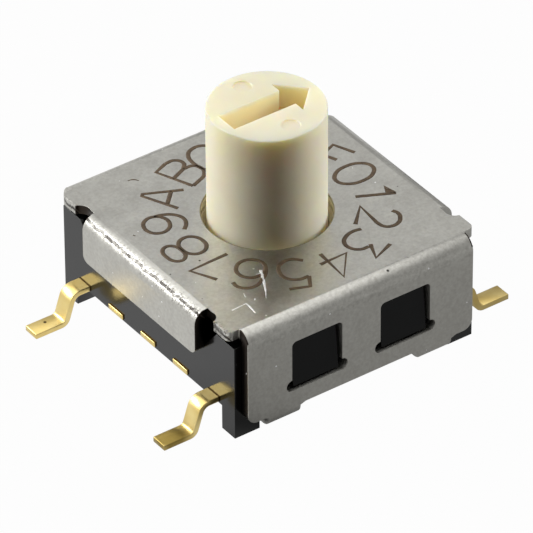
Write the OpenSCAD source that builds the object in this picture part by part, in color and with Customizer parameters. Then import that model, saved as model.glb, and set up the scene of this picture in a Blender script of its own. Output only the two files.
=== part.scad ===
// Rotary coded switch with sixteen positions, for a circuit board.
// The board is the plane z = 0, the lead rows are on -X and +X, and the shaft turns about +Z.

/* [Housing] */
// Wall between the round cavity and the sides with the leads
side_wall = 0.6; // [0.55:0.01:0.9]
// Wall between the round cavity and the sides without leads
end_wall = 0.65; // [0.6:0.01:0.9]
// Height of the housing's underside above the board along the lead rows
strip_z = 0.67; // [0.62:0.01:0.8]
// Plastic left under the leads where they leave the housing
edge_skin = 0.04; // [0.02:0.01:0.08]
// Gap between the rotor's flange and the wall of the round cavity
flange_gap = 0.25; // [0.15:0.01:0.3]
// Thickness of the rim that carries the cover
rim_wall = 0.25; // [0.2:0.01:0.35]
// Drop of the housing's corner shoulders below the cover's top plate
shoulder_drop = 0.17; // [0.12:0.01:0.35]
// Further drop of the sides with the leads, between the corner shoulders
side_drop = 0.56; // [0.2:0.01:0.6]
// Length of the slope between a corner shoulder and the lower side
side_slope = 0.45; // [0.3:0.01:0.8]
// Gap between a crimp tab and the corner foot beside it
foot_clear = 0.1; // [0.06:0.01:0.2]
// Size of a corner foot along a lead row
foot_y = 0.5; // [0.3:0.01:0.55]
// Gap between a corner foot and the board
foot_gap = 0.03; // [0.01:0.01:0.06]

/* [Cover] */
// Height of the cover's top above the board
cover_top = 2.95; // [2.95:0.05:3.2]
// Thickness of the cover's sheet
sheet_t = 0.25; // [0.2:0.01:0.28]
// Inner radius of the folds at the top
fold_r = 0.1; // [0.08:0.01:0.14]
// Inner radius of the folds of the crimp tabs
tab_fold_r = 0.05; // [0.03:0.01:0.08]
// Gap between the cover's sides and the housing
cover_gap = 0.01; // [0.01:0.01:0.03]
// Bare edge of the housing on each side of a tall wall
corner_bare = 0.19; // [0.1:0.01:0.3]
// Height of a tall wall's lower edge above the board
wall_low_z = 0.47; // [0.42:0.01:0.55]
// Radius of a tall wall's lower corners
wall_corner_r = 0.25; // [0.1:0.01:0.3]
// Width of a short flap
flap_w = 4.42; // [4:0.02:4.6]
// Height of a short flap, with its fold
flap_h = 1.17; // [0.9:0.01:1.3]
// Radius of a short flap's lower corners
flap_corner_r = 0.2; // [0.05:0.01:0.3]
// Width of the relief notch beside a short flap
notch_w = 0.49; // [0.3:0.01:0.5]
// Depth of the relief notch
notch_depth = 0.2; // [0.1:0.01:0.25]
// How far the corners of the top plate reach past the housing
lug_reach = 0.1; // [0:0.01:0.15]
// Radius of the corners of the top plate
lug_r = 0.15; // [0.05:0.01:0.2]

/* [Windows and tabs] */
// Distance between the two windows of a wall, from centre to centre
window_pitch = 2.44; // [2.2:0.01:2.6]
// Width of a window
window_w = 1.38; // [1:0.01:1.5]
// Sheet left between a window and the fold above it
window_land = 0.35; // [0.2:0.01:0.5]
// Height of a window's lower edge above the board
window_low_z = 0.9; // [0.85:0.01:1]
// Radius of a window's upper corners
window_r = 0.12; // [0.05:0.01:0.2]
// Radius of the relief bites at a window's lower corners
bite_r = 0.15; // [0.08:0.01:0.18]
// Gap round a catch in its window
catch_gap = 0.07; // [0.04:0.01:0.12]
// How far a catch stands out at its lower end
catch_out = 0.2; // [0.12:0.01:0.22]
// How far a catch stands out at its upper end
catch_thin = 0.1; // [0.05:0.01:0.12]
// Distance between the two crimp tabs of a wall, from centre to centre
tab_pitch = 4.2; // [3.8:0.02:4.3]
// Width of a crimp tab
tab_w = 0.84; // [0.5:0.01:0.9]
// Reach of a crimp tab under the housing, past its fold
tab_reach = 0.35; // [0.2:0.01:0.5]
// Gap between a crimp tab and the housing's belly
tab_gap = 0.01; // [0.01:0.01:0.03]

/* [Shaft] */
// Diameter of the shaft
shaft_d = 2.75; // [2.6:0.01:2.85]
// Height of the shaft's end above the board
shaft_top = 5.84; // [4:0.02:8]
// Chamfer at the shaft's end
shaft_chamfer = 0.02; // [0.02:0.01:0.1]
// How much the shaft's radius grows from just above the cover down to the flange
seat_swell = 0.02; // [0.01:0.01:0.03]
// Height above the cover at which the growth begins
seat_fade = 0.06; // [0.05:0.01:0.1]
// Gap between the shaft and the edge of the cover's hole
shaft_gap = 0.14; // [0.05:0.01:0.16]
// Distance of the arrow's tip from the shaft's edge
arrow_land = 0.2; // [0.15:0.01:0.4]
// Distance of the tail's end from the shaft's edge
tail_land = 0.27; // [0.15:0.01:0.4]
// Length of the arrow slot's head
arrow_head_len = 0.6; // [0.4:0.02:0.8]
// Width of the arrow slot's head
arrow_head_w = 1.2; // [0.9:0.02:1.4]
// Width of the arrow slot's tail
arrow_tail_w = 0.62; // [0.4:0.02:0.8]
// Depth of the arrow slot
arrow_depth = 0.6; // [0.3:0.02:1]
// Radius of the two round dimples beside the slot
dimple_r = 0.22; // [0.1:0.01:0.25]
// Depth of the dimples
dimple_depth = 0.03; // [0.02:0.01:0.1]
// Distance of a dimple's centre from the shaft's edge
dimple_land = 0.45; // [0.35:0.01:0.5]

/* [Rotor] */
// Reach of the rotor's flange past the middle of the outer track
flange_over = 0.33; // [0.3:0.01:0.4]
// Height of the flange's underside above the cavity's floor
flange_rise = 0.52; // [0.45:0.01:0.6]
// Number of click positions
clicks = 16; // [8:8:16]
// Radius of a click notch
click_r = 0.22; // [0.18:0.01:0.26]
// Depth of a click notch
click_depth = 0.14; // [0.1:0.01:0.16]
// Radius of the pivot post
post_r = 0.35; // [0.3:0.01:0.36]
// Height of the pivot post above the cavity's floor
post_h = 1.05; // [0.8:0.01:1.2]
// Gap between the pivot post and the rotor's bore
post_gap = 0.03; // [0.02:0.01:0.05]
// Wall of the hub round the bore
hub_wall = 0.14; // [0.12:0.01:0.16]
// End play of the rotor above the floor and below the cover
end_play = 0.02; // [0.01:0.01:0.04]
// Height of the squeezed seal ring
seal_h = 0.5; // [0.45:0.01:0.55]
// Width of the squeezed seal ring
seal_w = 0.48; // [0.4:0.01:0.52]

/* [Click spring] */
// Thickness of the click spring's sheet
spring_t = 0.1; // [0.06:0.01:0.12]
// Length of the click spring
spring_len = 4; // [3.6:0.05:4.1]
// Height of the click spring
spring_h = 0.72; // [0.5:0.01:0.8]
// Radius of the click spring's nib
nib_r = 0.19; // [0.15:0.01:0.2]
// Gap between the nib and the bottom of its notch
nib_gap = 0.06; // [0.03:0.01:0.1]
// How far the nib's root stands in from the spring's ends
spring_bow = 0.21; // [0.15:0.01:0.25]

/* [Contacts] */
// Radius of the innermost contact track
track_r = 0.92; // [0.86:0.01:0.96]
// Step from one track to the next
track_step = 0.4; // [0.38:0.01:0.42]
// Width of a track
track_w = 0.28; // [0.26:0.01:0.3]
// Half the angle of a track's contact at one position
contact_half = 6.5; // [4:0.5:7]
// Reach of the strip that joins the contacts of one track past the outer track
bus_reach = 0.24; // [0.2:0.01:0.28]
// Width of the joining strip
bus_w = 0.18; // [0.12:0.01:0.18]
// Width of the narrow runs between the tracks and the leads
run_w = 0.16; // [0.12:0.01:0.18]
// Thickness of the wiper's sheet
wiper_t = 0.08; // [0.06:0.01:0.1]
// Length of a wiper finger
finger_len = 0.8; // [0.7:0.01:0.84]
// Width of a wiper finger
finger_w = 0.24; // [0.16:0.01:0.26]
// Gap between the wiper's fingers and the tracks
wiper_gap = 0.02; // [0.01:0.01:0.04]

/* [Leads] */
// Distance between leads of a row
lead_pitch = 2.54; // [2.5:0.01:2.56]
// Width of a lead
lead_w = 0.44; // [0.36:0.01:0.46]
// Thickness of the leads and tracks
lead_t = 0.14; // [0.12:0.01:0.18]
// Distance between the ends of opposite leads
lead_span = 9.62; // [9.4:0.02:10.4]
// Flat length of a lead outside the housing
lead_shoulder = 0.26; // [0.2:0.01:0.4]
// Inner radius of a lead's upper bend
lead_bend_r = 0.18; // [0.08:0.01:0.2]
// Inner radius of a lead's lower bend
lead_heel_r = 0.1; // [0.06:0.01:0.14]
// Lean of a lead's leg from the vertical, in degrees
lead_lean = 18; // [10:1:25]
// Width of a cut stub
stub_w = 0.56; // [0.4:0.01:0.6]
// How far a cut stub stands out of the housing
stub_out = 0.04; // [0.02:0.01:0.08]

/* [Hidden] */

$fn = 96;

// How far a cut runs past what it cuts, and how far a joined piece is let in
past = 1;
tuck = 0.01;

// Levels
frame_z = strip_z + edge_skin;
floor_z = frame_z + lead_t;
plate_z = cover_top - sheet_t;
shoulder_z = plate_z - shoulder_drop;
flange_z = floor_z + flange_rise;
seal_z = plate_z - end_play - seal_h;
side_z = shoulder_z - side_drop;
flap_low_z = cover_top - flap_h;

// Plan, from the tracks outwards
tracks = 4;
outer_track_r = track_r + (tracks - 1) * track_step;
bus_r = outer_track_r + track_w / 2 + bus_reach;
flange_r = outer_track_r + flange_over;
cavity_r = flange_r + flange_gap;
half_x = cavity_r + side_wall;
half_y = cavity_r + end_wall;
housing_x = 2 * half_x;
housing_y = 2 * half_y;

// Cover outline
side_x = half_x + cover_gap + sheet_t;
side_y = half_y + cover_gap + sheet_t;
wall_w = housing_x - 2 * corner_bare;
fold_out = fold_r + sheet_t;
tab_fold_out = tab_fold_r + sheet_t;
tab_skirt = 0.05;
tab_flare = 0.14;
tab_fold_z = wall_low_z - tab_skirt;
tab_under_z = tab_fold_z - tab_fold_out;
belly_z = tab_under_z + sheet_t + tab_gap;
foot_x = half_x - tab_pitch / 2 - tab_w / 2 - foot_clear;
belly_x = housing_x - 2 * foot_x;
lug_x = half_x + lug_reach;
lug_y = side_y - fold_out;
notch_y = flap_w / 2 + notch_w / 2;

// Windows and catches
window_h = cover_top - fold_out - window_land - window_low_z;
catch_low_z = window_low_z + catch_gap;
catch_high_z = window_low_z + window_h - catch_gap;
catch_root = 0.1;

// Shaft and rotor
shaft_r = shaft_d / 2;
seat_r = shaft_r + seat_swell;
arrow_tip = shaft_r - arrow_land;
dimple_at = shaft_r - dimple_land;
click_at = flange_r - click_depth + click_r;
bore_r = post_r + post_gap;
hub_r = bore_r + hub_wall;
hub_z = floor_z + end_play;
bore_over = 0.1;
click_step = 360 / clicks;
// Circle that rounds the seal ring's section, as a share of its larger side
seal_round = 1.15;

// Click spring and its pocket
spring_y = flange_r - click_depth + nib_gap + nib_r;
spring_back_y = spring_y + spring_bow + spring_t / 2;
pocket_clear = 0.05;
spring_lift = 0.02;
spring_z = flange_z + spring_lift;
spring_hook = 0.3;

// Wiper
wiper_z = flange_z - wiper_t;
wiper_inset = 0.05;
wiper_r = flange_r - wiper_inset;
wiper_hub_gap = 0.02;
finger_root = 0.04;
comb_in = track_r - track_step / 2;
comb_past = 0.3;
peg_r = 0.15;
peg_gap = 0.01;
peg_head_r = 0.24;
peg_head_h = 0.08;
peg_at = 1.6;

// Runs of the contact strip, which cross the tracks halfway between two positions
run_inset = 0.38;
run_x = half_x - run_inset;
first_angle = 180;
exit_4 = first_angle - 7.5 * click_step;
exit_8 = first_angle - 8.5 * click_step;

// Shape helpers

// Points on an arc round the origin
function arc_points(r, a, b, steps) =
    [for (i = [0 : steps]) let (t = a + (b - a) * i / steps) [r * cos(t), r * sin(t)]];

// Ring sector in the plane, from angle a to angle b, counted counterclockwise
module ring_sector(r_in, r_out, a, b) {
    steps = max(2, ceil((b - a) / 45));
    intersection() {
        difference() {
            circle(r = r_out);
            circle(r = r_in);
        }
        polygon(concat([[0, 0]], arc_points(2 * r_out, a, b, steps)));
    }
}

// Rectangle with round corners in the plane
module rounded_rect(w, h, r) {
    square([w - 2 * r, h], center = true);
    square([w, h - 2 * r], center = true);
    for (sx = [-1, 1], sy = [-1, 1])
        translate([sx * (w / 2 - r), sy * (h / 2 - r)])
            circle(r = r);
}

// Straight strip in the plane between two points
module strip(p, q, w) {
    d = q - p;
    length = norm(d);
    translate(p)
        rotate(atan2(d[1], d[0]))
            translate([0, -w / 2])
                square([length, w]);
}

// Extrudes an outline drawn in y and z along X, centred
module along_x(length) {
    rotate([90, 0, 90])
        linear_extrude(height = length, center = true)
            children();
}

// Extrudes an outline drawn in x and z along Y, centred
module along_y(length) {
    rotate([90, 0, 0])
        linear_extrude(height = length, center = true)
            children();
}

// Both directions of an axis
module both_sides(axis) {
    children();
    mirror(axis) children();
}

// Cover

module top_plate() {
    flat_x = side_x - fold_out;
    translate([0, 0, plate_z])
        linear_extrude(height = sheet_t)
            difference() {
                rounded_rect(2 * lug_x, 2 * lug_y, lug_r);
                for (sx = [-1, 1]) {
                    translate([sx > 0 ? flat_x : -flat_x - past, -notch_y])
                        square([past, 2 * notch_y]);
                    for (sy = [-1, 1])
                        translate([sx * (lug_x - notch_depth), sy * notch_y])
                            notch_outline(sx);
                }
            }
}

module notch_outline(side) {
    r = notch_w / 2;
    translate([side * r, 0])
        circle(r = r);
    translate([side > 0 ? r : -r - past, -r])
        square([past, notch_w]);
}

module tall_wall() {
    wall_h = cover_top - fold_out - wall_low_z;
    translate([0, side_y - fold_out, cover_top - fold_out])
        along_x(wall_w)
            ring_sector(fold_r, fold_out, 0, 90);
    translate([0, side_y - sheet_t / 2, wall_low_z])
        along_y(sheet_t)
            wall_outline(wall_h);
    for (s = [-1, 1])
        translate([s * tab_pitch / 2, 0, 0])
            crimp_tab();
}

module wall_outline(h) {
    translate([-wall_w / 2, wall_corner_r])
        square([wall_w, h - wall_corner_r]);
    translate([-wall_w / 2 + wall_corner_r, 0])
        square([wall_w - 2 * wall_corner_r, wall_corner_r]);
    for (s = [-1, 1])
        translate([s * (wall_w / 2 - wall_corner_r), wall_corner_r])
            circle(r = wall_corner_r);
}

module crimp_tab() {
    translate([0, side_y - sheet_t / 2, tab_fold_z])
        along_y(sheet_t)
            polygon([
                [-tab_w / 2, 0], [tab_w / 2, 0],
                [tab_w / 2 + tab_flare, tab_skirt], [-tab_w / 2 - tab_flare, tab_skirt]
            ]);
    translate([0, side_y - tab_fold_out, tab_fold_z])
        along_x(tab_w)
            ring_sector(tab_fold_r, tab_fold_out, -90, 0);
    translate([-tab_w / 2, side_y - tab_fold_out - tab_reach, tab_under_z])
        cube([tab_w, tab_reach, sheet_t]);
}

module window_outline() {
    translate([-window_w / 2, 0])
        square([window_w, window_h - window_r]);
    translate([-window_w / 2 + window_r, window_h - window_r])
        square([window_w - 2 * window_r, window_r]);
    for (s = [-1, 1]) {
        translate([s * (window_w / 2 - window_r), window_h - window_r])
            circle(r = window_r);
        translate([s * window_w / 2, bite_r])
            circle(r = bite_r);
    }
}

module short_flap() {
    translate([side_x - fold_out, 0, cover_top - fold_out])
        along_y(flap_w)
            ring_sector(fold_r, fold_out, 0, 90);
    translate([side_x - sheet_t / 2, 0, flap_low_z])
        along_x(sheet_t)
            flap_outline(cover_top - fold_out - flap_low_z);
}

module flap_outline(h) {
    translate([-flap_w / 2, flap_corner_r])
        square([flap_w, h - flap_corner_r]);
    translate([-flap_w / 2 + flap_corner_r, 0])
        square([flap_w - 2 * flap_corner_r, flap_corner_r]);
    for (s = [-1, 1])
        translate([s * (flap_w / 2 - flap_corner_r), flap_corner_r])
            circle(r = flap_corner_r);
}

module cover() {
    color("#a6a5a0")
        difference() {
            union() {
                top_plate();
                both_sides([0, 1, 0]) tall_wall();
                both_sides([1, 0, 0]) short_flap();
            }
            translate([0, 0, plate_z - past])
                cylinder(r = shaft_r + shaft_gap, h = sheet_t + 2 * past);
            for (s = [-1, 1])
                translate([s * window_pitch / 2, 0, window_low_z])
                    along_y(2 * side_y + 2 * past)
                        window_outline();
        }
}

// Contacts, drawn in the plane of the strip

function position_angle(p) = first_angle - p * click_step;
function track_in(k) = track_r + k * track_step - track_w / 2;
function track_out(k) = track_r + k * track_step + track_w / 2;

// Contact of track k over the positions from p to q
module contact(k, p, q, r_out) {
    ring_sector(
        track_in(k), r_out,
        position_angle(q) - contact_half, position_angle(p) + contact_half
    );
}

// Contacts of the outer track and the strip that joins them
module outer_contacts(groups) {
    last = len(groups) - 1;
    for (g = groups)
        contact(3, g[0], g[1], bus_r);
    ring_sector(
        bus_r - bus_w, bus_r,
        position_angle(groups[last][1]) - contact_half, position_angle(groups[0][0]) + contact_half
    );
}

// Run beside a row, with the lead's root and the cut stubs that belong to it
module edge_run(side, y_from, y_to, lead_y, stubs) {
    low_y = min(y_from, y_to) - run_w / 2;
    high_y = max(y_from, y_to) + run_w / 2;
    strip([side * run_x, low_y], [side * run_x, high_y], run_w);
    strip([side * (run_x - run_w / 2), lead_y], [side * half_x, lead_y], lead_w);
    for (y = stubs)
        strip([side * run_x, y], [side * (half_x + stub_out), y], stub_w);
}

// Radial run from radius r_from to the housing's edge region, at angle a, and on to the row
module radial_run(a, r_from, side) {
    r_to = bus_r + run_w;
    strip([r_from * cos(a), r_from * sin(a)], [r_to * cos(a), r_to * sin(a)], run_w);
    strip([(r_to - run_w / 2) * cos(a), r_to * sin(a)], [side * run_x, r_to * sin(a)], run_w);
}

function radial_run_y(a) = (bus_r + run_w) * sin(a);
function bus_end_y(p, sign) = (bus_r - bus_w / 2) * sin(position_angle(p) + sign * contact_half);
function bus_end_x(p, sign) = (bus_r - bus_w / 2) * cos(position_angle(p) + sign * contact_half);

module plan_common() {
    ring_sector(track_in(0), track_out(0), 0, 180);
    ring_sector(track_in(0), track_out(0), 180, 360);
    strip([-track_in(0), 0], [-run_x, 0], run_w);
    edge_run(-1, -lead_pitch, 0, -lead_pitch, [0, -lead_pitch / 2]);
}

module plan_1() {
    y = bus_end_y(1, 1);
    outer_contacts([[1, 1], [3, 3], [5, 5], [7, 7]]);
    strip([bus_end_x(1, 1), y], [-run_x, y], run_w);
    edge_run(-1, y, lead_pitch, lead_pitch, [lead_pitch / 2]);
}

module plan_2() {
    y = bus_end_y(10, 1);
    outer_contacts([[10, 11], [14, 15]]);
    strip([bus_end_x(10, 1), y], [run_x, y], run_w);
    edge_run(1, -lead_pitch, y, -lead_pitch, [-lead_pitch / 2]);
}

module plan_4() {
    contact(2, 4, 7, track_out(2));
    ring_sector(track_in(2), track_out(2), exit_4 - 2, position_angle(7));
    radial_run(exit_4, track_in(2), 1);
    edge_run(1, radial_run_y(exit_4), lead_pitch, lead_pitch, [lead_pitch / 2]);
}

module plan_8() {
    contact(1, 8, 15, track_out(1));
    radial_run(exit_8, track_in(1), 1);
    edge_run(1, radial_run_y(exit_8), 0, 0, []);
}

// Lead outside the housing, drawn in x and z, with x counted from the housing's face
module lead_outline() {
    out_r = lead_bend_r + lead_t;
    knee = [lead_shoulder, floor_z - out_r];
    heel_z = lead_t + lead_heel_r;
    sway = out_r + lead_heel_r;
    leg_len = (knee[1] - heel_z + sway * sin(lead_lean)) / cos(lead_lean);
    ankle = [knee[0] + sway * cos(lead_lean) + leg_len * sin(lead_lean), heel_z];
    tip = lead_span / 2 - half_x;
    translate([-tuck, frame_z])
        square([lead_shoulder + tuck, lead_t]);
    translate(knee)
        ring_sector(lead_bend_r, out_r, lead_lean, 90);
    translate(knee)
        rotate(lead_lean)
            translate([lead_bend_r, -leg_len])
                square([lead_t, leg_len]);
    translate(ankle)
        ring_sector(lead_heel_r, lead_heel_r + lead_t, 180 + lead_lean, 270);
    translate([ankle[0], 0])
        square([tip - ankle[0], lead_t]);
}

module lead(side, y) {
    translate([0, y, 0])
        mirror([side < 0 ? 1 : 0, 0, 0])
            translate([half_x, 0, 0])
                along_y(lead_w)
                    lead_outline();
}

module in_strip() {
    translate([0, 0, frame_z])
        linear_extrude(height = lead_t)
            children();
}

module terminal_common() {
    color("#d8c27a") {
        in_strip() plan_common();
        lead(-1, -lead_pitch);
    }
}

module terminal_1() {
    color("#d8c27a") {
        in_strip() plan_1();
        lead(-1, lead_pitch);
    }
}

module terminal_2() {
    color("#d8c27a") {
        in_strip() plan_2();
        lead(1, -lead_pitch);
    }
}

module terminal_4() {
    color("#d8c27a") {
        in_strip() plan_4();
        lead(1, lead_pitch);
    }
}

module terminal_8() {
    color("#d8c27a") {
        in_strip() plan_8();
        lead(1, 0);
    }
}

// Housing

module catch() {
    window_side = window_w / 2 - catch_gap;
    along_x(2 * window_side)
        polygon([
            [half_y - catch_root, catch_low_z], [half_y + catch_out, catch_low_z],
            [half_y + catch_thin, catch_high_z], [half_y - catch_root, catch_high_z]
        ]);
}

module corner_foot() {
    translate([half_x - foot_x, half_y - foot_y, foot_gap])
        cube([foot_x, foot_y, strip_z - foot_gap]);
}

// Housing's end view, drawn in y and z: low sides between the corner shoulders
module block_outline() {
    slope_y = flap_w / 2 + side_slope;
    polygon([
        [-half_y, strip_z], [half_y, strip_z],
        [half_y, shoulder_z], [slope_y, shoulder_z], [flap_w / 2, side_z],
        [-flap_w / 2, side_z], [-slope_y, shoulder_z], [-half_y, shoulder_z]
    ]);
}

module spring_pocket() {
    pocket_x = spring_len / 2 + pocket_clear;
    translate([-pocket_x, 0, spring_z])
        cube([2 * pocket_x, spring_back_y, cover_top - spring_z]);
}

module housing() {
    color("#17191a") {
        difference() {
            union() {
                along_x(housing_x)
                    block_outline();
                translate([-belly_x / 2, -half_y, belly_z])
                    cube([belly_x, housing_y, strip_z - belly_z]);
                translate([0, 0, strip_z])
                    cylinder(r = cavity_r + rim_wall, h = plate_z - strip_z);
                both_sides([1, 0, 0]) both_sides([0, 1, 0]) corner_foot();
                both_sides([0, 1, 0])
                    for (s = [-1, 1])
                        translate([s * window_pitch / 2, 0, 0])
                            catch();
            }
            translate([0, 0, floor_z])
                cylinder(r = cavity_r, h = cover_top);
            spring_pocket();
            in_strip() {
                plan_common();
                plan_1();
                plan_2();
                plan_4();
                plan_8();
            }
        }
        translate([0, 0, floor_z])
            cylinder(r = post_r, h = post_h);
    }
}

// Rotor

module arrow_outline() {
    tail_x = tail_land - shaft_r;
    neck_x = arrow_tip - arrow_head_len;
    polygon([
        [tail_x, -arrow_tail_w / 2], [neck_x, -arrow_tail_w / 2], [neck_x, -arrow_head_w / 2],
        [arrow_tip, 0],
        [neck_x, arrow_head_w / 2], [neck_x, arrow_tail_w / 2], [tail_x, arrow_tail_w / 2]
    ]);
}

module rotor() {
    color("#e9e6cf") {
        difference() {
            rotate_extrude()
                polygon([
                    [0, hub_z], [hub_r, hub_z], [hub_r, flange_z], [flange_r, flange_z],
                    [flange_r, seal_z], [seat_r, seal_z], [shaft_r, cover_top + seat_fade],
                    [shaft_r, shaft_top - shaft_chamfer],
                    [shaft_r - shaft_chamfer, shaft_top], [0, shaft_top]
                ]);
            translate([0, 0, hub_z - past])
                cylinder(r = bore_r, h = floor_z + post_h + bore_over - hub_z + past);
            for (i = [0 : clicks - 1])
                rotate(90 + i * click_step)
                    translate([click_at, 0, flange_z - past])
                        cylinder(r = click_r, h = seal_z - flange_z + 2 * past);
            translate([0, 0, shaft_top - arrow_depth])
                linear_extrude(height = arrow_depth + past)
                    arrow_outline();
            for (s = [-1, 1])
                translate([0, s * dimple_at, shaft_top - dimple_depth])
                    cylinder(r = dimple_r, h = past);
        }
        for (s = [-1, 1])
            translate([0, s * peg_at, 0]) {
                translate([0, 0, wiper_z - peg_head_h])
                    cylinder(r = peg_head_r, h = peg_head_h);
                translate([0, 0, wiper_z - tuck])
                    cylinder(r = peg_r, h = wiper_t + 2 * tuck);
            }
    }
}

module seal_ring() {
    color("#202020")
        rotate_extrude()
            translate([seat_r + seal_w / 2, seal_z + seal_h / 2])
                intersection() {
                    square([seal_w, seal_h], center = true);
                    circle(d = seal_round * max(seal_w, seal_h));
                }
}

module click_spring() {
    hook_x = spring_len / 2 - spring_hook;
    hook_y = spring_bow;
    half_t = spring_t / 2;
    back_r = nib_r - spring_t;
    color("#b9b4a6")
        translate([0, spring_y, spring_z])
            linear_extrude(height = spring_h)
                polygon(concat(
                    [[-spring_len / 2, hook_y - half_t], [-hook_x, hook_y - half_t]],
                    arc_points(nib_r, 180, 360, 16),
                    [[hook_x, hook_y - half_t], [spring_len / 2, hook_y - half_t]],
                    [[spring_len / 2, hook_y + half_t], [hook_x, hook_y + half_t], [back_r, spring_t]],
                    arc_points(back_r, 360, 180, 12),
                    [[-back_r, spring_t], [-hook_x, hook_y + half_t], [-spring_len / 2, hook_y + half_t]]
                ));
}

// Wiper

// Finger seen from the side, drawn in y and z, with its contact at y = 0
module finger_outline() {
    low = floor_z + wiper_gap;
    toe = 0.2;
    toe_lift = 0.1;
    flat = 0.06;
    root = finger_len + finger_root;
    polygon([
        [-root, wiper_z], [-finger_len, wiper_z], [-flat, low], [flat, low],
        [toe, low + toe_lift], [toe, low + toe_lift + wiper_t],
        [flat, low + wiper_t], [-flat, low + wiper_t],
        [-finger_len, wiper_z + wiper_t], [-root, wiper_z + wiper_t]
    ]);
}

module finger(k) {
    translate([-(track_r + k * track_step), 0, 0])
        along_x(finger_w)
            finger_outline();
}

module wiper() {
    color("#c9b56a") {
        translate([0, 0, wiper_z])
            linear_extrude(height = wiper_t)
                difference() {
                    circle(r = wiper_r);
                    circle(r = hub_r + wiper_hub_gap);
                    translate([-wiper_r - past, -finger_len])
                        square([wiper_r + past - comb_in, finger_len + comb_past]);
                    translate([comb_in, -comb_past])
                        square([wiper_r + past, finger_len + comb_past]);
                    for (s = [-1, 1])
                        translate([0, s * peg_at])
                            circle(r = peg_r + peg_gap);
                }
        for (k = [0 : tracks - 1])
            finger(k);
        for (k = [0, 2, 3])
            rotate(180) finger(k);
    }
}

cover();
housing();
rotor();
seal_ring();
click_spring();
wiper();
terminal_common();
terminal_1();
terminal_2();
terminal_4();
terminal_8();
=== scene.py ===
"""Rotary coded switch with a cream shaft, a folded stainless cover and gold-plated leads."""
import math

import bmesh
import bpy
from mathutils import Matrix, Vector


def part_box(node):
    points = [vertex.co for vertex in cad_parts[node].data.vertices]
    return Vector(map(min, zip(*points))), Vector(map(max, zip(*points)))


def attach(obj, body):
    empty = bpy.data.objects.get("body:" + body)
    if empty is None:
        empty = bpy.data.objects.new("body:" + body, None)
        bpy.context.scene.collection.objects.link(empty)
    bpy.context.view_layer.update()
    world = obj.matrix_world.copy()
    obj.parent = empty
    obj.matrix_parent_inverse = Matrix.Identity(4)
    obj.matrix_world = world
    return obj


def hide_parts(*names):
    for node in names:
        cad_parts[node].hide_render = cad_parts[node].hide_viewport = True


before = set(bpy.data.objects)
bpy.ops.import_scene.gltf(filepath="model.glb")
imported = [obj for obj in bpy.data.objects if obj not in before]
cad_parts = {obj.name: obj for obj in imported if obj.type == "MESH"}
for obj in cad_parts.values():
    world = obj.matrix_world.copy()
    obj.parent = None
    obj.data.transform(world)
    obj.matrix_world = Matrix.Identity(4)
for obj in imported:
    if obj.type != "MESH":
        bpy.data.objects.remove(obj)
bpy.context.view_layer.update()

MM = 0.001


# Small helpers

def linear(hex_colour):
    """An sRGB hex value as linear red, green, blue and alpha."""
    parts = [int(hex_colour[i:i + 2], 16) / 255 for i in (1, 3, 5)]
    return [c / 12.92 if c <= 0.04045 else ((c + 0.055) / 1.055) ** 2.4 for c in parts] + [1.0]


def add(tree, kind, settings=None, **links):
    """A node with its properties and input values, fed by other nodes' outputs."""
    node = tree.nodes.new("ShaderNode" + kind)
    for key, value in (settings or {}).items():
        if isinstance(key, int) or key in node.inputs:
            node.inputs[key].default_value = value
        else:
            setattr(node, key, value)
    for name, source in links.items():
        key = int(name[1:]) if name[0] == "i" and name[1:].isdigit() else name.replace("_", " ")
        tree.links.new(source, node.inputs[key])
    return node


def levels(tree, factor, stops):
    """A colour ramp node through (place, linear colour) stops."""
    node = add(tree, "ValToRGB", i0=factor)
    points = node.color_ramp.elements
    while len(points) < len(stops):
        points.new(0.5)
    for point, (place, colour) in zip(points, stops):
        point.position = place
        point.color = colour
    return node


def ramp(tree, factor, stops):
    """A colour through (place, hex colour) stops."""
    return levels(tree, factor, [(place, linear(colour)) for place, colour in stops]).outputs["Color"]


def blend(tree, share, colour, other):
    """A colour that turns by a share to another one, a hex value or an output."""
    node = add(tree, "Mix", {"data_type": "RGBA"}, i0=share, i6=colour)
    if isinstance(other, str):
        node.inputs[7].default_value = linear(other)
    else:
        tree.links.new(other, node.inputs[7])
    return node.outputs[2]


def product(tree, first, *others):
    """Several outputs multiplied: of tests, 1 where every one of them is 1."""
    for other in others:
        first = add(tree, "Math", {"operation": "MULTIPLY"}, i0=first, i1=other).outputs[0]
    return first


def larger(tree, first, second):
    """The larger of two outputs."""
    return add(tree, "Math", {"operation": "MAXIMUM"}, i0=first, i1=second).outputs[0]


def absolute(tree, value):
    """An output without its sign."""
    return add(tree, "Math", {"operation": "ABSOLUTE"}, i0=value).outputs[0]


def less_than(tree, value, limit):
    """1 where an output is under a limit."""
    return add(tree, "Math", {"operation": "LESS_THAN", 1: limit}, i0=value).outputs[0]


def between(tree, value, low, high):
    """1 where a coordinate is between two places in mm."""
    return add(tree, "Math", {"operation": "COMPARE", 1: (low + high) / 2 * MM, 2: (high - low) / 2 * MM},
               i0=value).outputs[0]


def span(tree, value, low, high, start=0.0, end=1.0, smooth=False):
    """Start where an output is low, end where it is high, and on a slope between the two."""
    settings = {"interpolation_type": "SMOOTHSTEP" if smooth else "LINEAR", "From Min": low, "From Max": high,
                "To Min": start, "To Max": end}
    return add(tree, "MapRange", settings, Value=value).outputs["Result"]


def noise(tree, coords, scale, detail=2.0, roughness=0.5):
    """A cloudy pattern from 0 to 1, with about scale clouds to the metre."""
    return add(tree, "TexNoise", {"Scale": scale, "Detail": detail, "Roughness": roughness},
               Vector=coords).outputs["Fac"]


def bump(tree, height, strength, distance, normal=None, invert=False):
    """A normal tilted by a height pattern, over one that is there already: distance in mm."""
    node = add(tree, "Bump", {"Strength": strength, "Distance": distance * MM, "invert": invert},
               Height=height)
    if normal is not None:
        tree.links.new(normal, node.inputs["Normal"])
    return node.outputs["Normal"]


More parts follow.
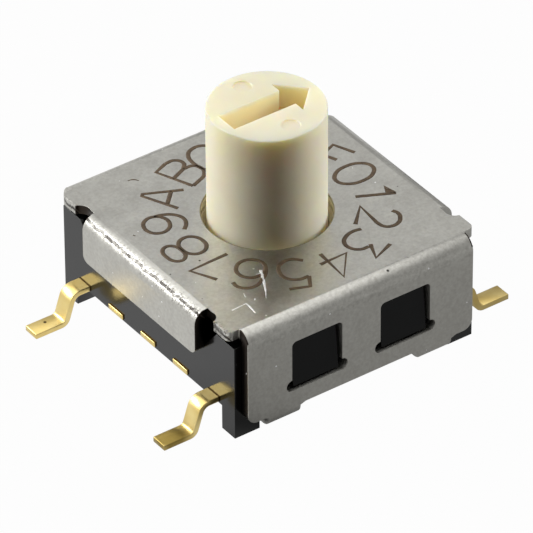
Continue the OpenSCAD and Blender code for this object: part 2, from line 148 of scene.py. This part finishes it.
def plan_radius(tree, coords):
    """Distance from the shaft's axis, seen from above."""
    flat = add(tree, "Mapping", {"Scale": (1, 1, 0)}, Vector=coords)
    return add(tree, "VectorMath", {"operation": "LENGTH"}, i0=flat.outputs["Vector"]).outputs["Value"]


def spot(tree, coords, place, radius):
    """A soft round spot, 1 at its middle, round a place in mm."""
    gap = add(tree, "VectorMath", {"operation": "DISTANCE", 1: [c * MM for c in place]}, i0=coords)
    return span(tree, gap.outputs["Value"], 0.8 * radius * MM, 1.6 * radius * MM, 1.0, 0.0)


def give(tree, shader, values):
    """Sets a shader's inputs by name, each to a plain value or to an output."""
    for key, value in values.items():
        if isinstance(value, bpy.types.NodeSocket):
            tree.links.new(value, shader.inputs[key])
        else:
            shader.inputs[key].default_value = value


def new_material(name):
    """An empty node material: its tree, its Principled shader and its Object coordinates."""
    material = bpy.data.materials.new(name)
    material.use_nodes = True
    tree = material.node_tree
    shader = tree.nodes["Principled BSDF"]
    coords = add(tree, "TexCoord").outputs["Object"]
    return material, tree, shader, coords


def dress(name, material):
    """Gives a CAD node its material."""
    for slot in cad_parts[name].material_slots:
        slot.material = material


def finish_piece(name, mesh, material, body):
    """An object for a finished mesh, riding on its body."""
    mesh.materials.clear()
    mesh.materials.append(material)
    piece = bpy.data.objects.new(name, mesh)
    bpy.context.collection.objects.link(piece)
    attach(piece, body)
    return piece


# Easing: points closer than this are one, in mm, and angles in degrees between a face and the next
WELD = 0.001
FLAT_UNDER = 0.5
EASED_OVER = 32
SHARP_OVER = 60


def eased(node, width, material, body):
    """A copy of a CAD node with its sharp edges rounded over, standing for that node."""
    bm = bmesh.new()
    bm.from_mesh(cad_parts[node].data)
    bmesh.ops.remove_doubles(bm, verts=bm.verts[:], dist=WELD * MM)
    bmesh.ops.dissolve_limit(bm, angle_limit=math.radians(FLAT_UNDER), verts=bm.verts[:], edges=bm.edges[:],
                             use_dissolve_boundaries=False, delimit=set())
    sharp = [edge for edge in bm.edges
             if edge.is_manifold and edge.calc_face_angle() > math.radians(EASED_OVER)]
    bmesh.ops.bevel(bm, geom=sharp, offset=width * MM, offset_type="OFFSET", affect="EDGES", segments=2,
                    profile=0.5, material=-1, clamp_overlap=True)
    for face in bm.faces:
        face.smooth = True
    mesh = bpy.data.meshes.new(node + "_eased")
    bm.to_mesh(mesh)
    bm.free()
    piece = finish_piece(node + "_eased", mesh, material, body)
    mesh.set_sharp_from_angle(angle=math.radians(SHARP_OVER))
    normals = piece.modifiers.new("even_flats", "WEIGHTED_NORMAL")
    normals.keep_sharp = True
    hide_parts(node)
    return piece


# Materials

# Places that they pick out, in mm. "OUT" and "SIDE" are x and y without their sign
FLAP_FOLD_X, FLAP_FOLD_Z = -3.21, 2.6
TALL_FOLD_SIDE, TALL_FOLD_Z = (3.27, 3.65), (2.5, 3.0)
TALL_WALL_RUBBED = (3.3, 3.55)
NOTCH_X, NOTCH_SIDE, NOTCH_Z = (-3.66, -3.14), (2.195, 2.715), (1.0, 2.93)
WALL_END_OUT, WALL_END_Y = (3.08, 3.13), (-3.59, -3.3)
HOLE_REACH, HOLE_EDGE_Z = 1.53, (2.895, 3.0)
CATCH_OUT, CATCH_SIDE, CATCH_Z = (-0.1, 2.6), (3.3, 3.65), (0.7, 2.6)
ARROW_REACH, ARROW_Z = 1.27, (5.72, 5.8)
LEAD_EXIT_OUT = (3.295, 3.325)
# Marks: place and radius
FOLD_PIT = (0.87, -3.4, 2.9), 0.03
# The near foot's spot is painted shade, not a mark
NEAR_FOOT = (-4.5, -2.55, 0.14), 0.35
FOOT_PIT = (-4.38, 2.6, 0.14), 0.03


def stainless_sheet():
    """Stainless sheet, stamped and tumbled: a soft grey mirror with a fine grain, cracked along one fold."""
    material, tree, shader, coords = new_material("stainless_sheet_tumbled")
    axes = add(tree, "SeparateXYZ", i0=coords).outputs
    out, side = absolute(tree, axes["X"]), absolute(tree, axes["Y"])
    # Grain of about 0.08 mm, drawn coarser than the real one so that it shows
    grain = noise(tree, coords, 12000.0, 3.0, 0.6)
    # Soft dents about 0.6 mm across, from tumbling
    dents = noise(tree, coords, 1700.0)
    mottle = add(tree, "Math", {"operation": "MULTIPLY_ADD", 1: 0.4}, i0=dents, i2=grain).outputs[0]
    colour = ramp(tree, mottle, [(0.5, "#B8B6AF"), (0.9, "#C8C7C0")])

    # Turn round the fold of the -X flap: 0 on the top plate, a quarter turn on the flap
    fold = add(tree, "Mapping", {"Scale": (-1, 1, 1), "Location": (FLAP_FOLD_X * MM, 0, -FLAP_FOLD_Z * MM)},
               Vector=coords)
    fold_axes = add(tree, "SeparateXYZ", i0=fold.outputs["Vector"]).outputs
    turn = add(tree, "Math", {"operation": "ARCTAN2"}, i0=fold_axes["X"], i1=fold_axes["Z"]).outputs[0]
    # The crack runs near the fold's middle and wanders about 0.07 mm to each side
    along = add(tree, "Mapping", {"Scale": (0, 1, 0)}, Vector=coords).outputs["Vector"]
    middle = span(tree, noise(tree, along, 2600.0, 6.0, 0.75), 0.25, 0.75, 0.52, 0.94)
    away = absolute(tree, add(tree, "Math", {"operation": "SUBTRACT"}, i0=turn, i1=middle).outputs[0])
    # It is a little deeper in some stretches than in others
    stretch = span(tree, noise(tree, coords, 4500.0), 0.36, 0.6, 0.7, 1.0)
    depth = product(tree, span(tree, away, 0.05, 0.13, 1.0, 0.0, smooth=True), stretch)
    # Crumpled skin of the strained metal beside it, rougher towards -Y, and a trace of it on the tall folds
    strained = span(tree, away, 0.1, 0.6, 1.0, 0.0, smooth=True)
    worse = span(tree, axes["Y"], 2.4 * MM, -1.5 * MM, 0.25, 1.0)
    tall_fold = product(tree, between(tree, side, *TALL_FOLD_SIDE), between(tree, axes["Z"], *TALL_FOLD_Z))
    share = add(tree, "Math", {"operation": "MULTIPLY_ADD", 1: 0.15}, i0=tall_fold,
                i2=product(tree, strained, worse)).outputs[0]
    crumple = noise(tree, coords, 11000.0, 3.0, 0.7)
    # Painted highlights as bright flecks and painted shade as dark pits on the crumpled skin, then the crack
    flake_highlights = product(tree, span(tree, crumple, 0.52, 0.62), share)
    pits = product(tree, span(tree, crumple, 0.5, 0.4), share)
    painted_flakes_and_pits = blend(tree, pits, blend(tree, flake_highlights, colour, "#E6E5E0"), "#6E6B66")
    # The crack's dark colour is painted shade in its groove
    cracked = blend(tree, depth, painted_flakes_and_pits, "#3E3B38")

    # Sheared edges darkened with painted shade: in the relief notches on -X, and at the ends of the -Y wall
    notch = product(tree, between(tree, side, *NOTCH_SIDE), between(tree, axes["X"], *NOTCH_X),
                    between(tree, axes["Z"], *NOTCH_Z))
    wall_end = product(tree, between(tree, out, *WALL_END_OUT), between(tree, axes["Y"], *WALL_END_Y))
    edges_shaded = blend(tree, larger(tree, notch, wall_end), cracked, "#36302B")
    # Specks up to 0.05 mm across: pits with dirt in them, and bright dings
    cells = add(tree, "TexVoronoi", {"Scale": 2600.0}, Vector=coords).outputs
    chance = add(tree, "SeparateXYZ", i0=cells["Color"]).outputs
    size = add(tree, "Math", {"operation": "MULTIPLY", 1: 0.07}, i0=chance["X"]).outputs[0]
    inside = add(tree, "Math", {"operation": "LESS_THAN"}, i0=cells["Distance"], i1=size).outputs[0]
    ding = add(tree, "Math", {"operation": "GREATER_THAN", 1: 0.45}, i0=chance["Y"]).outputs[0]
    marked = blend(tree, inside, edges_shaded, ramp(tree, ding, [(0.0, "#4A4640"), (1.0, "#FFFFFF")]))
    # A dark pit on the -Y fold
    pitted = blend(tree, spot(tree, coords, *FOLD_PIT), marked, "#2E2A27")
    # The shaft hole: its wall is made less metallic and painted a pale cream, a painted glow of light through
    # the shaft, and painted shade darkens its upper edge
    hole = less_than(tree, plan_radius(tree, coords), HOLE_REACH * MM)
    hole_glow_and_rim_shade = ramp(tree, between(tree, axes["Z"], *HOLE_EDGE_Z), [(0.0, "#E4DDC0"), (1.0, "#8C8468")])

    # The tall walls are duller than the top plate, rubbed by the forming tool
    low, high = TALL_WALL_RUBBED
    rubbed = span(tree, side, low * MM, high * MM, 0.0, 0.14)
    rough = span(tree, dents, 0.3, 0.7, 0.3, 0.37)
    waves = bump(tree, dents, 0.35, 0.01)
    fine = bump(tree, grain, 0.1, 0.003, waves)
    rugged = bump(tree, product(tree, share, crumple), 0.6, 0.02, fine)
    give(tree, shader, {
        "Base Color": blend(tree, hole, pitted, hole_glow_and_rim_shade),
        "Metallic": span(tree, hole, 0.0, 1.0, 1.0, 0.1),
        "Roughness": add(tree, "Math", {"operation": "ADD"}, i0=rough, i1=rubbed).outputs[0],
        "Normal": bump(tree, depth, 0.5, 0.02, rugged, invert=True),
    })
    return material


def black_moulding():
    """Glass-filled black nylon from a polished mould: near black, and glossy enough to mirror the leads."""
    material, tree, shader, coords = new_material("black_nylon_moulded")
    # Faint flow marks about 0.5 mm wide
    flow = noise(tree, coords, 2000.0)
    # The catches in the windows are matt
    axes = add(tree, "SeparateXYZ", Vector=coords).outputs
    out, side = absolute(tree, axes["X"]), absolute(tree, axes["Y"])
    catches = product(tree, between(tree, side, *CATCH_SIDE), between(tree, out, *CATCH_OUT),
                      between(tree, axes["Z"], *CATCH_Z))
    give(tree, shader, {
        "Base Color": ramp(tree, flow, [(0.3, "#060707"), (0.7, "#0A0B0B")]),
        "Normal": bump(tree, flow, 0.12, 0.004),
        "Roughness": 0.15,
        "IOR": 1.48,
        "Specular IOR Level": span(tree, catches, 0.0, 1.0, 0.5, 0.2),
    })
    return material


def cream_moulding():
    """Natural nylon, moulded: cream and translucent, so thin and hollow places glow warm. A satin skin."""
    material, tree, shader, coords = new_material("cream_nylon_moulded")
    skin_colour = ramp(tree, noise(tree, coords, 900.0), [(0.3, "#EDE6CB"), (0.7, "#F2ECD5")])
    # Painted warm glow inside the arrow slot, for the light that passes through the plastic
    axes = add(tree, "SeparateXYZ", Vector=coords).outputs
    low, high = ARROW_Z
    deep = span(tree, axes["Z"], low * MM, high * MM, 1.0, 0.0)
    inside = less_than(tree, plan_radius(tree, coords), ARROW_REACH * MM)
    give(tree, shader, {
        "Base Color": blend(tree, product(tree, deep, inside), skin_colour, "#F3E7BE"),
        # Skin texture of about 0.1 mm
        "Normal": bump(tree, noise(tree, coords, 9000.0, 1.0), 0.2, 0.003),
        "Roughness": 0.45,
        "IOR": 1.53,
        "Subsurface Weight": 0.9,
        "Subsurface Radius": (1.0, 0.78, 0.35),
        "Subsurface Scale": 0.6 * MM,
    })
    return material


def gold_plating():
    """Gold flash over rolled copper alloy: a warm pale gold with soft rolled streaks."""
    material, tree, shader, coords = new_material("gold_plated_strip")
    # Rolling streaks about 0.07 mm wide, long across the lead rows
    streaks = add(tree, "Mapping", {"Scale": (0.15, 1.0, 0.15)}, Vector=coords).outputs["Vector"]
    cloud = noise(tree, coords, 2200.0)
    plating = ramp(tree, cloud, [(0.3, "#E0C477"), (0.7, "#ECD795")])
    # Painted shade: a dark line where the lead leaves the moulding
    axes = add(tree, "SeparateXYZ", Vector=coords).outputs
    line = between(tree, absolute(tree, axes["X"]), *LEAD_EXIT_OUT)
    exit_shaded = blend(tree, line, plating, "#6E5424")
    # The near foot is darkened with painted shade, for the black housing it mirrors, and the other foot of
    # its row has a pit in the plating
    near_foot_shaded = blend(tree, spot(tree, coords, *NEAR_FOOT), exit_shaded, "#8E7A40")
    give(tree, shader, {
        "Base Color": blend(tree, spot(tree, coords, *FOOT_PIT), near_foot_shaded, "#3A2C12"),
        "Roughness": span(tree, cloud, 0.3, 0.7, 0.29, 0.35),
        "Normal": bump(tree, noise(tree, streaks, 14000.0), 0.1, 0.002),
        "Metallic": 1.0,
    })
    return material


def grained(name, scale, dark, pale, metallic, roughness, stretch=None):
    """A material with a fine grain between two colours, drawn out by its stretch if it has one."""
    material, tree, shader, coords = new_material(name)
    if stretch:
        coords = add(tree, "Mapping", {"Scale": stretch}, Vector=coords).outputs["Vector"]
    give(tree, shader, {
        "Base Color": ramp(tree, noise(tree, coords, scale), [(0.3, dark), (0.7, pale)]),
        "Metallic": metallic,
        "Roughness": roughness,
    })
    return material


def spring_strip():
    """Rolled spring steel: bright with fine lines along the strip."""
    return grained("spring_steel_rolled", 15000.0, "#B4AD9E", "#CFC9BC", 1.0, 0.28, (0.1, 1.0, 1.0))


def seal_rubber():
    """Silicone rubber, moulded: soft with a dull sheen. Its pale buff is painted light that lifts the shade
    in the gap round the shaft.
    """
    return grained("silicone_rubber_moulded", 8000.0, "#DACDA8", "#E6D9B6", 0.0, 0.6)


def laser_mark():
    """Laser-darkened steel: a brown oxide line, a little uneven along its length."""
    return grained("laser_mark_brown", 9000.0, "#46382A", "#5E4E3A", 0.3, 0.5)


def bare_scratch():
    """Bright bare steel in a fresh scratch: paler than the tumbled skin round it."""
    return grained("steel_scratch_bright", 12000.0, "#DAD9D4", "#FFFFFF", 0.4, 0.4)


steel = stainless_sheet()
black = black_moulding()
cream = cream_moulding()
gold = gold_plating()
eased("cover", 0.03, steel, "base")
eased("housing", 0.03, black, "base")
eased("rotor", 0.035, cream, "rotor")
for name in ("terminal_common", "terminal_1", "terminal_2", "terminal_4", "terminal_8"):
    eased(name, 0.02, gold, "base")
dress("seal_ring", seal_rubber())
dress("click_spring", spring_strip())
dress("wiper", gold)


# Dial marks, drawn by laser on the top plate

PLATE_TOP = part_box("cover")[1][2] / MM

# Strokes of each position's mark, upright: millimetres across and millimetres out from the axis
DIAL = (
    (("ring", (0.01, 2.93), (0.24, 2.8), (0.35, 2.43), (0.24, 2.06), (0.01, 1.93),
      (-0.22, 2.06), (-0.33, 2.43), (-0.22, 2.8)),),
    (("line", (0.03, 2.99), (-0.04, 2.06)), ("line", (0.03, 2.97), (-0.27, 2.8), (-0.02, 2.81)),
     ("line", (0.01, 2.9), (-0.16, 2.83))),
    (("bend", (-0.43, 2.79), (-0.36, 2.93), (-0.19, 3.01), (0.02, 2.99), (0.17, 2.85), (0.19, 2.69),
      (0.08, 2.52)),
     ("line", (0.08, 2.52), (-0.48, 2.05), (0.22, 2.05))),
    (("line", (-0.35, 3.03), (0.26, 3.03), (-0.11, 2.66)),
     ("bend", (-0.02, 2.67), (0.17, 2.57), (0.25, 2.34), (0.15, 2.13), (-0.06, 2.04), (-0.32, 2.07),
      (-0.5, 2.18))),
    (("line", (0.01, 2.05), (0.08, 3.05), (-0.49, 2.36), (0.24, 2.37)),),
    (("line", (0.2, 3.02), (-0.28, 3.02), (-0.34, 2.64)),
     ("bend", (-0.34, 2.64), (-0.1, 2.71), (0.16, 2.62), (0.27, 2.35), (0.18, 2.06), (-0.06, 1.94),
      (-0.35, 2.04))),
    (("bend", (0.31, 2.81), (0.2, 2.94), (0.0, 2.98), (-0.2, 2.88), (-0.32, 2.6), (-0.34, 2.25),
      (-0.22, 1.98), (0.0, 1.9), (0.24, 2.0), (0.33, 2.26), (0.22, 2.5), (0.0, 2.58), (-0.2, 2.5),
      (-0.33, 2.3)),),
    (("line", (-0.43, 2.81), (0.26, 2.86), (-0.11, 1.88)),),
    (("ring", (-0.12, 2.86), (0.12, 2.8), (0.2, 2.65), (0.12, 2.5), (-0.12, 2.44), (-0.35, 2.5),
      (-0.43, 2.65), (-0.35, 2.8)),
     ("ring", (-0.1, 2.42), (0.14, 2.35), (0.24, 2.13), (0.14, 1.92), (-0.1, 1.84), (-0.34, 1.92),
      (-0.44, 2.13), (-0.34, 2.35))),
    (("ring", (0.03, 2.85), (0.26, 2.76), (0.35, 2.55), (0.26, 2.34), (0.03, 2.25), (-0.2, 2.34),
      (-0.29, 2.55), (-0.2, 2.76)),
     ("bend", (0.35, 2.55), (0.38, 2.35), (0.32, 2.08), (0.15, 1.91), (-0.06, 1.89), (-0.28, 1.98))),
    (("line", (-0.24, 2.0), (0.09, 2.89), (0.17, 2.89), (0.48, 2.0)), ("line", (-0.1, 2.27), (0.39, 2.27))),
    (("line", (-0.08, 1.93), (-0.08, 2.93), (0.32, 2.93)),
     ("bend", (0.32, 2.93), (0.54, 2.82), (0.56, 2.6), (0.36, 2.47)), ("line", (0.36, 2.47), (-0.08, 2.46)),
     ("bend", (0.36, 2.47), (0.59, 2.34), (0.59, 2.1), (0.4, 1.94), (0.3, 1.92)),
     ("line", (0.3, 1.92), (-0.08, 1.93))),
    (("bend", (0.42, 2.76), (0.25, 2.92), (0.02, 2.95), (-0.2, 2.82), (-0.3, 2.45), (-0.2, 2.08),
      (0.02, 1.95), (0.25, 1.98), (0.42, 2.14)),),
    (("line", (0.02, 1.96), (-0.26, 1.96), (-0.26, 2.94), (0.02, 2.94)),
     ("bend", (0.02, 2.94), (0.24, 2.82), (0.33, 2.45), (0.24, 2.08), (0.02, 1.96))),
    (("line", (0.36, 2.95), (-0.2, 2.95), (-0.2, 1.95), (0.36, 1.95)), ("line", (-0.2, 2.47), (0.24, 2.47))),
    (("line", (0.52, 2.95), (-0.06, 2.95), (-0.06, 1.95)), ("line", (-0.06, 2.49), (0.32, 2.49))),
)


def on_dial(position, across, out):
    """Plan point of a mark's point: positions run clockwise from +X."""
    angle = -math.tau / 16 * position
    return (out * math.cos(angle) + across * math.sin(angle),
            out * math.sin(angle) - across * math.cos(angle))


def plate_lines(name, strokes, width, rise, material):
    """Fine lines on the top plate. A stroke: its kind, its shares of the width or None, its points in mm."""
    curve = bpy.data.curves.new(name, "CURVE")
    curve.dimensions = "3D"
    curve.bevel_depth = width / 2 * MM
    curve.bevel_resolution = 1
    curve.resolution_u = 6
    curve.use_fill_caps = True
    for kind, shares, points in strokes:
        spline = curve.splines.new("BEZIER")
        spline.bezier_points.add(len(points) - 1)
        spline.use_cyclic_u = kind == "ring"
        for index, (place, (x, y)) in enumerate(zip(spline.bezier_points, points)):
            place.co = (x * MM, y * MM, 0)
            place.handle_left_type = place.handle_right_type = "VECTOR" if kind == "line" else "AUTO"
            place.radius = shares[index] if shares else 1.0
    holder = bpy.data.objects.new(name, curve)
    bpy.context.collection.objects.link(holder)
    mesh = bpy.data.meshes.new_from_object(holder.evaluated_get(bpy.context.evaluated_depsgraph_get()))
    bpy.data.objects.remove(holder)
    mesh.transform(Matrix.Diagonal((1, 1, 2 * rise / width, 1)))
    mesh.transform(Matrix.Translation((0, 0, PLATE_TOP * MM)))
    return finish_piece(name, mesh, material, "base")


# Width of a full line and how far it stands up, in mm
MARK_WIDTH, SCRATCH_WIDTH, NICK_WIDTH, RISE = 0.105, 0.07, 0.05, 0.004

plate_lines("dial_marks", [(kind, None, [on_dial(position, *point) for point in points])
                           for position, strokes in enumerate(DIAL) for kind, *points in strokes],
            MARK_WIDTH, RISE, laser_mark())
plate_lines("scratches", [
    ("bend", (0.9, 1.3, 0.8, 0.5, 0.1),
     ((-1.44, -1.76), (-1.52, -1.93), (-1.66, -2.2), (-1.8, -2.45), (-1.95, -2.68))),
    ("line", (0.5, 0.2), ((-1.5, -1.86), (-1.62, -1.83))),
    ("line", (0.5, 0.2), ((-1.5, -1.86), (-1.36, -1.87))),
    ("line", (0.6, 0.6, 0.7, 0.5), ((-2.83, -2.6), (-2.43, -2.58), (-2.42, -2.7), (-2.46, -2.99))),
    ("line", (0.4, 0.2), ((-2.25, -2.24), (-2.3, -2.38))),
    ("line", (0.5, 0.2), ((-2.16, -2.55), (-2.2, -2.6))),
    ("line", (0.6, 0.5), ((-2.86, -0.2), (-2.84, -0.25))),
    ("line", (0.6, 0.5), ((-2.63, -0.38), (-2.6, -0.42))),
], SCRATCH_WIDTH, RISE, bare_scratch())
plate_lines("dark_nicks", [
    ("bend", (0.5, 0.9, 0.5), ((-1.9, 2.79), (-1.77, 2.75), (-1.69, 2.64))),
    ("line", (0.8, 0.5), ((-2.99, 1.0), (-2.97, 0.94))),
], NICK_WIDTH, RISE, laser_mark())


# Camera, at the photograph's viewing angle

# Turn, lift and roll in degrees; the point looked at and the distance in mm; the lens for a 36 mm sensor
CAMERA_ANGLES = (-35.4317, 36.5304, -0.3409)
CAMERA_TARGET = (-0.7316, -0.9890, 2.2796)
CAMERA_DISTANCE = 154.536
CAMERA_LENS = 463.98


def place_camera():
    turn, lift, roll = (math.radians(a) for a in CAMERA_ANGLES)
    target = Vector(CAMERA_TARGET) * MM
    look = Vector((-math.sin(turn) * math.cos(lift), math.cos(turn) * math.cos(lift), -math.sin(lift)))
    right = Vector((math.cos(turn), math.sin(turn), 0))
    up = right.cross(look)
    rolled_right = right * math.cos(roll) + up * math.sin(roll)
    rolled_up = up * math.cos(roll) - right * math.sin(roll)
    data = bpy.data.cameras.new("camera")
    data.lens = CAMERA_LENS
    data.sensor_width = 36
    data.clip_start = 0.01
    camera = bpy.data.objects.new("camera", data)
    axes = Matrix((rolled_right, rolled_up, -look)).transposed().to_4x4()
    camera.matrix_world = Matrix.Translation(target - look * CAMERA_DISTANCE * MM) @ axes
    bpy.context.collection.objects.link(camera)
    bpy.context.scene.camera = camera
    return right


# Stage: white floor and soft lights at both sides, a little behind, and above

def place_lamp(name, direction, distance, width, tall, power):
    """A square-cornered lamp that faces the object from a distance, all in metres and watts."""
    data = bpy.data.lights.new(name, "AREA")
    data.shape = "RECTANGLE"
    data.size = width
    data.size_y = tall
    data.energy = power
    lamp = bpy.data.objects.new(name, data)
    direction = Vector(direction).normalized()
    lamp.location = direction * distance
    lamp.rotation_euler = direction.to_track_quat("Z", "Y").to_euler()
    # Metal mirrors the smooth tent instead of the lamps, apart from the one behind on the left
    lamp.visible_glossy = name == "spot_back"
    bpy.context.collection.objects.link(lamp)


# Lamp: how far it stands to the right, to the back and up, as a direction; distance, width, height and power
LAMPS = {
    "softbox_left": (-1.0, 0.0, 0.35, 0.12, 0.06, 0.08, 0.06),
    "softbox_right": (0.96, 0.276, 0.35, 0.12, 0.06, 0.08, 0.15),
    "softbox_top": (0.0, 0.35, 1.0, 0.14, 0.12, 0.12, 0.055),
    "spot_back": (-0.8, 0.2, 0.45, 0.12, 0.08, 0.05, 0.105),
}
# The tent round the object: light it sheds, and what metal mirrors in front, above and on the left
TENT_FILL = 0.04
TENT_FRONT = 0.43
TENT_ABOVE = 1.1
TENT_LEFT = 0.68
# What metal mirrors in the floor, along a line from the front right to the back left: place in mm and level
FLOOR_LINE = (-0.58, 0.815, 0)
# The low levels just in front of the object are a painted shadow of it on the floor, seen only in mirrors
FLOOR_MIRRORED = ((-20, 0.7), (-12, 0.44), (-6, 0.38), (-3, 0.36), (-1.6, 0.2), (-0.2, 0.65), (2.5, 0.85))
# The floor's half width in metres, and how far it lies under the feet in mm, so that no faces coincide
FLOOR_HALF = 0.4
FLOOR_DROP = 0.002


def mirror_share(tree, path):
    """1 for a ray that only mirrors have turned on its way from the camera."""
    return product(tree, path.outputs["Is Glossy Ray"], less_than(tree, path.outputs["Diffuse Depth"], 0.5))


def place_stage(right):
    back = Vector((-right.y, right.x, 0))
    for name, (across, away, height, distance, width, tall, power) in LAMPS.items():
        place_lamp(name, right * across + back * away + Vector((0, 0, height)), distance, width, tall, power)

    bm = bmesh.new()
    bmesh.ops.create_grid(bm, x_segments=1, y_segments=1, size=FLOOR_HALF,
                          matrix=Matrix.Translation((0, 0, -FLOOR_DROP * MM)))
    mesh = bpy.data.meshes.new("floor")
    bm.to_mesh(mesh)
    bm.free()
    floor = bpy.data.objects.new("floor", mesh)
    bpy.context.collection.objects.link(floor)
    material, tree, shader, coords = new_material("floor_pale_paper")
    give(tree, shader, {"Base Color": linear("#5E5E5C"), "Roughness": 0.8})
    # White to the camera; in mirrors it has the levels of FLOOR_MIRRORED
    path = add(tree, "LightPath")
    camera_ray, see_through = path.outputs["Is Camera Ray"], path.outputs["Is Transmission Ray"]
    across = add(tree, "VectorMath", {"operation": "DOT_PRODUCT", 1: FLOOR_LINE}, i0=coords).outputs["Value"]
    low, high = FLOOR_MIRRORED[0][0], FLOOR_MIRRORED[-1][0]
    lit = levels(tree, span(tree, across, low * MM, high * MM),
                 [((at - low) / (high - low), (level, level, level, 1)) for at, level in FLOOR_MIRRORED])
    lit.color_ramp.interpolation = "EASE"
    white = add(tree, "Emission", {"Color": (1, 1, 1, 1)},
                Strength=larger(tree, camera_ray, lit.outputs["Color"]))
    seen = add(tree, "Math", {"operation": "MULTIPLY_ADD", 1: 0.98}, i0=camera_ray,
               i2=mirror_share(tree, path))
    mix = add(tree, "MixShader", i0=larger(tree, seen.outputs[0], see_through), i1=shader.outputs[0],
              i2=white.outputs[0])
    tree.links.new(mix.outputs[0], tree.nodes["Material Output"].inputs["Surface"])
    mesh.materials.append(material)

    world = bpy.data.worlds.new("studio")
    bpy.context.scene.world = world
    world.use_nodes = True
    tree = world.node_tree
    path = add(tree, "LightPath")
    camera_ray, see_through = path.outputs["Is Camera Ray"], path.outputs["Is Transmission Ray"]
    coords = add(tree, "TexCoord").outputs["Generated"]
    height = add(tree, "SeparateXYZ", i0=coords).outputs["Z"]
    above = span(tree, height, 0.5, 0.9, TENT_FRONT, TENT_FRONT + TENT_ABOVE, smooth=True)
    leftward = add(tree, "VectorMath", {"operation": "DOT_PRODUCT", 1: -right}, i0=coords).outputs["Value"]
    left = span(tree, leftward, 0.05, 0.65, 0.0, TENT_LEFT, smooth=True)
    # Dimmer towards the camera, so that the fold's highlight is narrow
    forward = add(tree, "VectorMath", {"operation": "DOT_PRODUCT", 1: -back}, i0=coords).outputs["Value"]
    dimmed = product(tree, above, span(tree, forward, -0.45, 0.3, 1.0, 0.72, smooth=True))
    tent = add(tree, "Math", {"operation": "ADD"}, i0=dimmed, i1=left).outputs[0]
    mirrored = add(tree, "MapRange", {"To Min": TENT_FILL}, Value=mirror_share(tree, path), To_Max=tent)
    strength = larger(tree, larger(tree, camera_ray, see_through), mirrored.outputs["Result"])
    give(tree, tree.nodes["Background"], {"Color": linear("#FFFFFF"), "Strength": strength})


place_stage(place_camera())
bpy.context.scene.view_settings.view_transform = "Standard"
